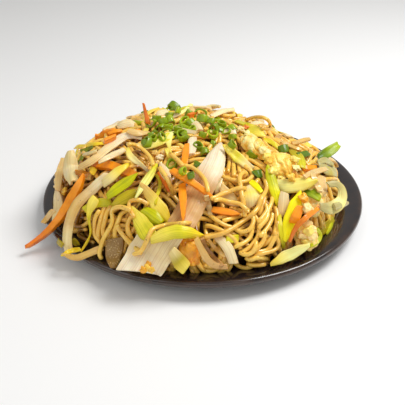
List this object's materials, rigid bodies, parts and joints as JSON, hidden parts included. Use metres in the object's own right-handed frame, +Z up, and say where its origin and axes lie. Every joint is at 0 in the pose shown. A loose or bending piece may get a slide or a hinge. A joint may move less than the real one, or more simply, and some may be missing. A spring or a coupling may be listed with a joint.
{
  "type": "plate of yakisoba",
  "caption": "Fried noodles heaped on a small round black plate, with strips of leek, carrot, onion and leaf, scrambled egg and cut spring onion on top.",
  "frame": {"origin": "middle of the flat foot under the plate", "axes": "+Z up, -Y towards the diner, +X to the diner's right"},
  "size_m": [0.1732, 0.172, 0.055],
  "materials": {
    "plate_glaze": "gloss",
    "noodle": "gloss",
    "carrot": "satin",
    "white_leek": "satin",
    "yellow_leaf": "satin",
    "green_leaf": "satin",
    "onion": "satin",
    "egg": "matte",
    "brown_strip": "satin"
  },
  "bodies": {
    "root": {"back_cabbage": "green_leaf", "base_leaf": "green_leaf", "big_curved_stalk": "onion", "big_yellow_leaf": "yellow_leaf", "bottom_left_strip": "onion", "bottom_right_leek": "yellow_leaf", "broad_yellow_strip": "yellow_leaf", "brown_strip": "brown_strip", "centre_carrot": "carrot", "crossing_carrot": "carrot", "curved_carrot": "carrot", "egg_front": "egg", "egg_low": "egg", "egg_right": "egg", "egg_round": "egg", "egg_upper": "egg", "front_flat_strip": "onion", "front_leaf_left": "green_leaf", "front_leaf_right": "green_leaf", "front_pale_strip": "white_leek", "front_white_leek": "white_leek", "front_yellow_strip": "yellow_leaf", "hanging_ribbon": "yellow_leaf", "leek_bowl": "white_leek", "leek_curl": "white_leek", "left_carrot_band": "carrot", "left_folded_leek": "white_leek", "left_green_leaf": "green_leaf", "left_olive_leaf": "green_leaf", "left_upright_strip": "onion", "left_wide_strip": "onion", "lime_petal": "green_leaf", "lime_strip": "green_leaf", "long_front_carrot": "carrot", "long_leaf": "green_leaf", "long_pale_strip": "white_leek", "middle_carrot": "carrot", "middle_short_carrot": "carrot", "noodle_heap": "noodle", "pale_leek": "yellow_leaf", "plate": "plate_glaze", "right_back_leaf": "green_leaf", "right_cabbage": "yellow_leaf", "right_carrot_block": "carrot", "right_green_leaf": "green_leaf", "right_low_leaf": "green_leaf", "right_tan_strip": "onion", "second_pale_strip": "onion", "speckled_petal": "white_leek", "twist_strip": "yellow_leaf", "upper_carrot": "carrot", "upright_carrot": "carrot", "white_baton": "white_leek", "white_leek": "white_leek", "yellow_diagonal": "yellow_leaf", "yellow_lens": "yellow_leaf", "yellow_petal": "yellow_leaf", "yellow_ribbon": "yellow_leaf"}
  },
  "joints": []
}
